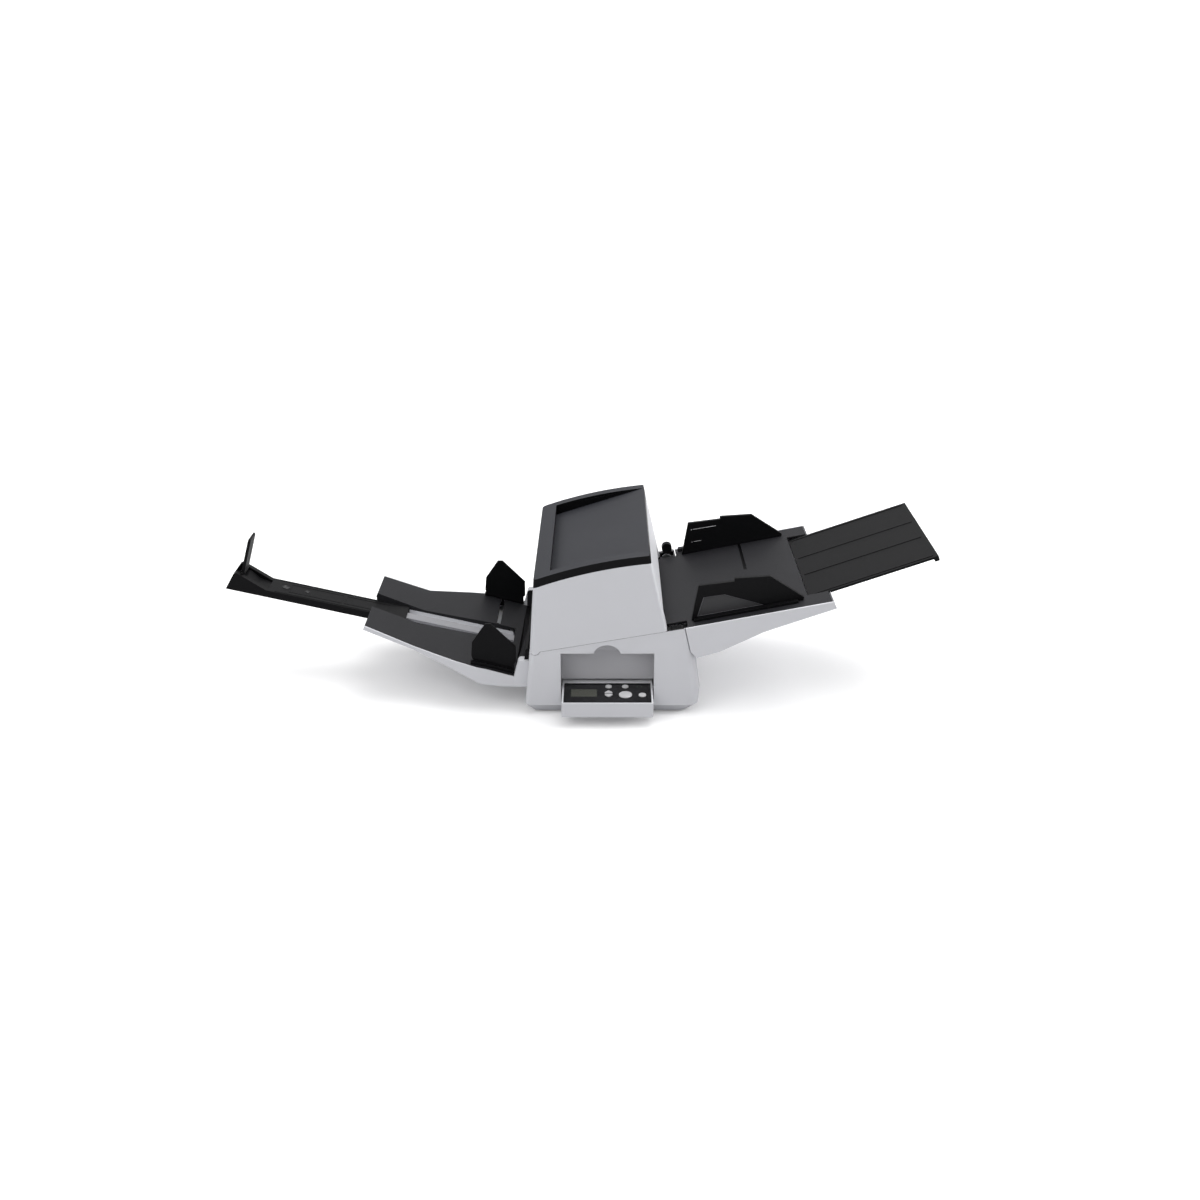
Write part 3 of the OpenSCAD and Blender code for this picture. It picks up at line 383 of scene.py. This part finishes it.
def add_prism(bm, outline, z0, z1, turn=FLAT):
    """An outline in x and y, drawn from z0 to z1."""
    low = [bm.verts.new(turn @ Vector((x, y, z0))) for x, y in outline]
    high = [bm.verts.new(turn @ Vector((x, y, z1))) for x, y in outline]
    n = len(outline)
    bm.faces.new(low[::-1])
    bm.faces.new(high)
    for i in range(n):
        bm.faces.new((low[i], low[(i + 1) % n], high[(i + 1) % n], high[i]))


def add_pair(bm, outline, inner, outer):
    """An outline in x and z, drawn on both sides of the middle between two distances."""
    for side in (-1, 1):
        low, high = sorted((side * inner, side * outer))
        add_prism(bm, outline, -high, -low, NEAR)


def rectangle(x0, y0, x1, y1):
    """Corners of a rectangle, counter-clockwise from the lower left."""
    return [(x0, y0), (x1, y0), (x1, y1), (x0, y1)]


def add_block(bm, low, high, turn=FLAT):
    """A box between two opposite corners."""
    (x0, y0, z0), (x1, y1, z1) = low, high
    add_prism(bm, rectangle(x0, y0, x1, y1), z0, z1, turn)


def circle(r, z, n):
    """Points of a level circle, counter-clockwise from above."""
    steps = [2 * math.pi * k / n for k in range(n)]
    return [(r * math.cos(a), r * math.sin(a), z) for a in steps]


def add_turned(bm, profile, turn=FLAT, n=32):
    """A profile of (radius, height) pairs turned about the local z axis."""
    rings = []
    for r, z in profile:
        if r < 1e-6:
            rings.append([bm.verts.new(turn @ Vector((0, 0, z)))])
        else:
            rings.append([bm.verts.new(turn @ Vector(p)) for p in circle(r, z, n)])
    for a, b in zip(rings, rings[1:]):
        for k in range(n):
            j = (k + 1) % n
            ends = [a[k % len(a)], a[j % len(a)], b[j % len(b)], b[k % len(b)]]
            ring = [v for i, v in enumerate(ends) if v not in ends[:i]]
            if len(ring) > 2:
                bm.faces.new(ring)


def add_frame(bm, outer, inner, z0, z1, turn=FLAT):
    """A flat ring between two outlines with the same number of points."""
    n = len(outer)
    rings = [[bm.verts.new(turn @ Vector((x, y, z))) for x, y in line]
             for line, z in ((outer, z0), (inner, z0), (inner, z1), (outer, z1))]
    for i in range(n):
        j = (i + 1) % n
        for a, b in ((0, 1), (1, 2), (2, 3), (3, 0)):
            bm.faces.new((rings[a][i], rings[a][j], rings[b][j], rings[b][i]))


# A pan head as (radius, height), with a socket in its top
SCREW = [(0, 0.55), (0.9, 0.55), (0.9, 1.1), (2.3, 1.1), (2.9, 0.7), (3.1, 0.0), (0, 0.0)]


def screws(name, places, turn):
    """Pan head screws with a cross in a round socket, one at each place on the body."""
    bm = bmesh.new()
    for point in places:
        at = Matrix.Translation(point) @ turn
        add_turned(bm, SCREW, at, 24)
        for k in range(2):
            slot = at @ Matrix.Rotation(math.pi / 2 * k, 4, "Z")
            add_block(bm, (-0.8, -0.16, 0.5), (0.8, 0.16, 0.75), slot)
    place(name, bm, "body", "steel")


def face_plane(x, z):
    """The panel's face: local x to the right, y towards the pivot, z out of the face."""
    return PANEL @ shifted(x, FACE_SURFACE, z) @ FAR


def panel_detail():
    """The display's bezel and two small lamps on the panel's face."""
    display_x, display_z = -39, 29
    half_w, half_h = 21.9, 13.15
    hole_half_w, hole_half_h = 21.5, 12.7
    bm = bmesh.new()
    add_frame(bm, rectangle(-half_w, -half_h, half_w, half_h),
              rectangle(-hole_half_w, -hole_half_h, hole_half_w, hole_half_h), -0.8, -0.35)
    place("display_bezel", bm, "panel", "gloss", face_plane(display_x, display_z), 0.15)
    lamp_row = 8.5
    bm = bmesh.new()
    for x in (50, 57):
        at = Matrix.Translation((x, -lamp_row, 0))
        add_turned(bm, [(0, 0.3), (0.5, 0.25), (0.8, 0.0), (0.8, -0.6), (0, -0.6)], at, 20)
    place("status_lamps", bm, "panel", "lamp", face_plane(0, 0))


def painted_seam_shadow():
    """A thin dark strip in a rubber finish, lying in the gap between the lower and the upper case:
    painted shadow along the seam.
    """
    bm = bmesh.new()
    corners = ((-114, -0.56), (119.5, -0.56), (119.5, -0.06), (-114, -0.06))
    line = [(x, seam_z(x) + dz) for x, dz in corners]
    add_pair(bm, line, BODY_HALF - 2.7, BODY_HALF - 0.6)
    place("painted_seam_shadow", bm, "body", "seam_shade")


def ribbed_strips():
    """Grip ribs on the near shelf beside the throat."""
    first_y, pitch, half = -185.6, 2.5, 0.6
    bm = bmesh.new()
    corners = ((98, -2.3), (116, -2.3), (115.4, -1.0), (98.6, -1.0))
    line = [(x, seam_z(x) + dz) for x, dz in corners]
    for k in range(7):
        y = first_y + pitch * k
        add_prism(bm, line, -y - half, -y + half, NEAR)
    place("throat_ribs", bm, "body", "black", FLAT, 0.2)


def bar_detail():
    """Raised lines, a finger dimple and the latch on the stacker's extension."""
    half, rim = 17, 0.9
    bm = bmesh.new()
    for x0, x1 in ((28, 122), (126, 205)):
        add_frame(bm, rectangle(x0, -half, x1, half),
                  rectangle(x0 + rim, rim - half, x1 - rim, half - rim), -0.2, 0.5)
    for y in (-26.5, 26.5):
        add_block(bm, (5, y - 0.6, -0.2), (225, y + 0.6, 0.7))
    place("bar_lines", bm, "stacker_extension", "black", BAR, 0.2)
    bm = bmesh.new()
    dimple = [(6.6, -0.1), (6.6, 0.8), (6.0, 1.0), (5.4, 0.8), (4.6, 0.25), (0, 0.1)]
    add_turned(bm, dimple, Matrix.Translation((20, 0, 0)), 40)
    latch = [(4.2, -0.1), (4.2, 0.7), (3.6, 0.9), (3.0, 0.5), (0, 0.3)]
    add_turned(bm, latch, Matrix.Translation((58, 0, 0)), 32)
    place("bar_dimples", bm, "stacker_extension", "gloss", BAR)


def guide_mark():
    """Pale inlaid fill marks on the inner face of the far hopper guide."""
    high_line = [(41, 45.2), (84, 44.2), (84, 45.1), (41, 46.1)]
    high_arrow = [(37, 44.4), (39, 44.4), (38, 47.4)]
    low_line = [(38, 21.4), (52, 21.0), (52, 21.8), (38, 22.2)]
    low_arrow = [(34, 20.6), (36, 20.6), (35, 23.6)]
    bm = bmesh.new()
    for outline in (high_line, high_arrow, low_line, low_arrow):
        add_prism(bm, outline, -0.2, 0.15)
    inner_face = HOPPER @ shifted(0, HOPPER_GUIDE_Y, 0) @ NEAR
    place("guide_mark", bm, "hopper_guide_far", "button", inner_face)


def insert_lines():
    """Raised lines round the insert on the outer face of each hopper guide, pale grey as a painted
    highlight along the insert's edge.
    """
    outline = [(22, 5), (38, 37), (73, 35.5), (134, 4.5)]
    middle = Vector([sum(c) / len(outline) for c in zip(*outline)])
    inner = [tuple(middle + (Vector(p) - middle) * 0.955) for p in outline]
    for side, end in ((-1, "near"), (1, "far")):
        bm = bmesh.new()
        add_frame(bm, outline, inner, -0.3, 0.45)
        outer_face = HOPPER @ shifted(0, side * (HOPPER_GUIDE_Y + GUIDE_THICK), 0) @ NEAR
        outwards = Matrix.Scale(-side, 4, (0, 0, 1))
        place("insert_line_" + end, bm, "hopper_guide_" + end, "line", outer_face @ outwards, 0.15)


def slot_walls():
    """Inner walls of the stacker's slot, from the tray down past the extension's bar."""
    bm = bmesh.new()
    tray_edge = [(-420, 125.5), (-418, 130.2), (-336, 97.2), (-268, 83.2), (-211, 72.2)]
    line = tray_edge + [(-182, 64.4), (-182, 58.0), (-420, 112.8)]
    add_pair(bm, line, 31.15, 32.8)
    place("slot_walls", bm, "body", "tray")


def electronics():
    """Small parts and plugs on the main board, and the contacts inside the sockets."""
    first_x, first_y, step_x, step_y = -48, -78, 13.5, 9.0
    bm = bmesh.new()
    for i in range(9):
        for j in range(6):
            x, y = first_x + step_x * i, first_y + step_y * j
            under_a_chip = -62 < y < -36
            if under_a_chip or (i + 2 * j) % 4 == 0:
                continue
            long, wide = (3.2, 1.6) if (i + j) % 2 else (1.8, 2.6)
            add_block(bm, (x, y, BOARD_SEAT), (x + long, y + wide, BOARD_SEAT + 1 + 0.3 * (i % 3)))
    place("board_parts", bm, "body", "chip", FLAT, 0.1)
    bm = bmesh.new()
    plugs = [2 + 16 * k for k in range(4)]
    for x in plugs:
        add_block(bm, (x, 47, BOARD_SEAT), (x + 12, 55, 21))
    place("board_plugs", bm, "body", "button", FLAT, 0.3)
    bm = bmesh.new()
    for plug in plugs:
        for pin in range(5):
            x = plug + 2.4 + 1.8 * pin
            add_block(bm, (x - 0.3, 50.7, 20.5), (x + 0.3, 51.3, 23.0))
    for x, z in ((-99, 40), (-89, 40), (-94, 45)):
        add_block(bm, (x - 1, 177.5, z - 2), (x + 1, 186.5, z + 2))
    place("contacts", bm, "body", "brass", FLAT, 0.1)
    bm = bmesh.new()
    add_block(bm, (-31, 179.5, 41), (-25, 188.5, 43.2))
    place("port_tongue", bm, "body", "button", FLAT, 0.2)


def fixings():
    """Screws of the base plate and the side frames."""
    places = [(x, y, 3) for x in (-118, -70, 64, 112) for y in (-168, 168)]
    screws("base_screws", places, DOWN)
    places = [(-112, 168, 16), (-98, 168, 16), (92, 168, 16), (108, 168, 16), (-112, 168, 92)]
    screws("far_frame_screws", places, FAR)
    screws("near_frame_screws", [(x, -y, z) for x, y, z in places], NEAR)


panel_detail()
ribbed_strips()
bar_detail()
guide_mark()
insert_lines()
painted_seam_shadow()
slot_walls()
electronics()
fixings()

# ----------------------------------------------------------------- camera

# In front of the operator panel, looking down on the scanner; metres, degrees, millimetres
CAMERA_PLACE = (-0.012, -2.2875, 1.0594)
CAMERA_TURN = (67.90, 0.035, 0.155)
FOCAL_LENGTH = 41.78

camera_data = bpy.data.cameras.new("camera")
camera_data.lens = FOCAL_LENGTH
camera_data.sensor_width = 36.0
camera = bpy.data.objects.new("camera", camera_data)
camera.location = CAMERA_PLACE
camera.rotation_euler = [math.radians(a) for a in CAMERA_TURN]
bpy.context.scene.collection.objects.link(camera)
bpy.context.scene.camera = camera

# ------------------------------------------------------------ light, floor


def area_light(name, location, target, size, power):
    """A soft rectangular lamp aimed at a target, in metres and watts."""
    data = bpy.data.lights.new(name, "AREA")
    data.shape = "RECTANGLE"
    data.size, data.size_y = size
    data.energy = power
    o = bpy.data.objects.new(name, data)
    o.location = location
    o.rotation_euler = (Vector(target) - Vector(location)).to_track_quat("-Z", "Y").to_euler()
    bpy.context.scene.collection.objects.link(o)


area_light("top", (0.5, 0.5, 2.6), (0, 0, 0.1), (2.6, 1.8), 46)
area_light("right", (2.6, 0.4, 1.5), (0.1, 0, 0.15), (1.6, 1.6), 42)
area_light("key", (-1.9, -2.0, 2.3), (0, 0, 0.1), (1.5, 1.5), 19)


def studio_world():
    """White surroundings for the camera, whose own light fades from overhead to the horizon."""
    world = bpy.data.worlds.new("studio")
    world.use_nodes = True
    tree = world.node_tree
    out = tree.nodes["World Output"]
    seen = tree.nodes["Background"]
    seen.inputs["Color"].default_value = (1, 1, 1, 1)
    seen.inputs["Strength"].default_value = 1.0
    lit = tree.nodes.new("ShaderNodeBackground")
    coord = tree.nodes.new("ShaderNodeTexCoord")
    apart = tree.nodes.new("ShaderNodeSeparateXYZ")
    ramp = tree.nodes.new("ShaderNodeValToRGB")
    ramp.color_ramp.elements[0].position = 0.42
    ramp.color_ramp.elements[0].color = (0.56, 0.56, 0.57, 1)
    ramp.color_ramp.elements[1].position = 0.9
    ramp.color_ramp.elements[1].color = (1.0, 1.0, 1.0, 1)
    half = tree.nodes.new("ShaderNodeMapRange")
    half.inputs["From Min"].default_value = -1.0
    tree.links.new(coord.outputs["Generated"], apart.inputs["Vector"])
    tree.links.new(apart.outputs["Z"], half.inputs["Value"])
    tree.links.new(half.outputs["Result"], ramp.inputs["Fac"])
    tree.links.new(ramp.outputs["Color"], lit.inputs["Color"])
    path = tree.nodes.new("ShaderNodeLightPath")
    mix = tree.nodes.new("ShaderNodeMixShader")
    tree.links.new(path.outputs["Is Camera Ray"], mix.inputs["Fac"])
    tree.links.new(lit.outputs["Background"], mix.inputs[1])
    tree.links.new(seen.outputs["Background"], mix.inputs[2])
    tree.links.new(mix.outputs["Shader"], out.inputs["Surface"])
    bpy.context.scene.world = world


studio_world()
bpy.context.scene.view_settings.view_transform = "Standard"


def floor():
    """A pale studio floor that curves up into the backdrop all round, far from the object.

    The camera sees it glow towards white with distance; the light it throws back on the
    object is held down, so that the undersides keep their shade.
    """
    bm = bmesh.new()
    n, level, curve = 96, 9.0, 6.0
    rings = [(level / 3, 0.0), (level, 0.0)]
    for i in range(1, 13):
        a = math.radians(7.5 * i)
        rings.append((level + curve * math.sin(a), curve * (1 - math.cos(a))))
    middle = bm.verts.new((0, 0, 0))
    last = None
    for r, z in rings:
        ring = [bm.verts.new(p) for p in circle(r, z, n)]
        for k in range(n):
            if last is None:
                bm.faces.new((middle, ring[k], ring[(k + 1) % n]))
            else:
                bm.faces.new((last[k], ring[k], ring[(k + 1) % n], last[(k + 1) % n]))
        last = ring
    mesh = bpy.data.meshes.new("floor")
    bm.to_mesh(mesh)
    bm.free()
    for p in mesh.polygons:
        p.use_smooth = True
    o = bpy.data.objects.new("floor", mesh)
    bpy.context.scene.collection.objects.link(o)
    s = Shader("floor_paper")
    paper = s.mixed(s.spread(s.noise(3.0), 0.0, 1.0), (0.88, 0.88, 0.885, 1), (0.90, 0.90, 0.90, 1))
    seen = s.add("ShaderNodeLightPath").outputs["Is Camera Ray"]
    s.link(s.mixed(seen, (0.55, 0.55, 0.56, 1), paper), s.bsdf.inputs["Base Color"])
    s.bsdf.inputs["Roughness"].default_value = 0.9
    s.bsdf.inputs["Emission Color"].default_value = (1, 1, 1, 1)
    away = s.add("ShaderNodeVectorMath", operation="LENGTH")
    s.link(s.coord, away.inputs[0])
    glow = s.spread(away.outputs["Value"], 0.14, 0.8, 0.7, 3.0)
    product = s.add("ShaderNodeMath", operation="MULTIPLY")
    s.link(glow, product.inputs[0])
    s.link(seen, product.inputs[1])
    s.link(product.outputs["Value"], s.bsdf.inputs["Emission Strength"])
    mesh.materials.append(s.mat)


floor()
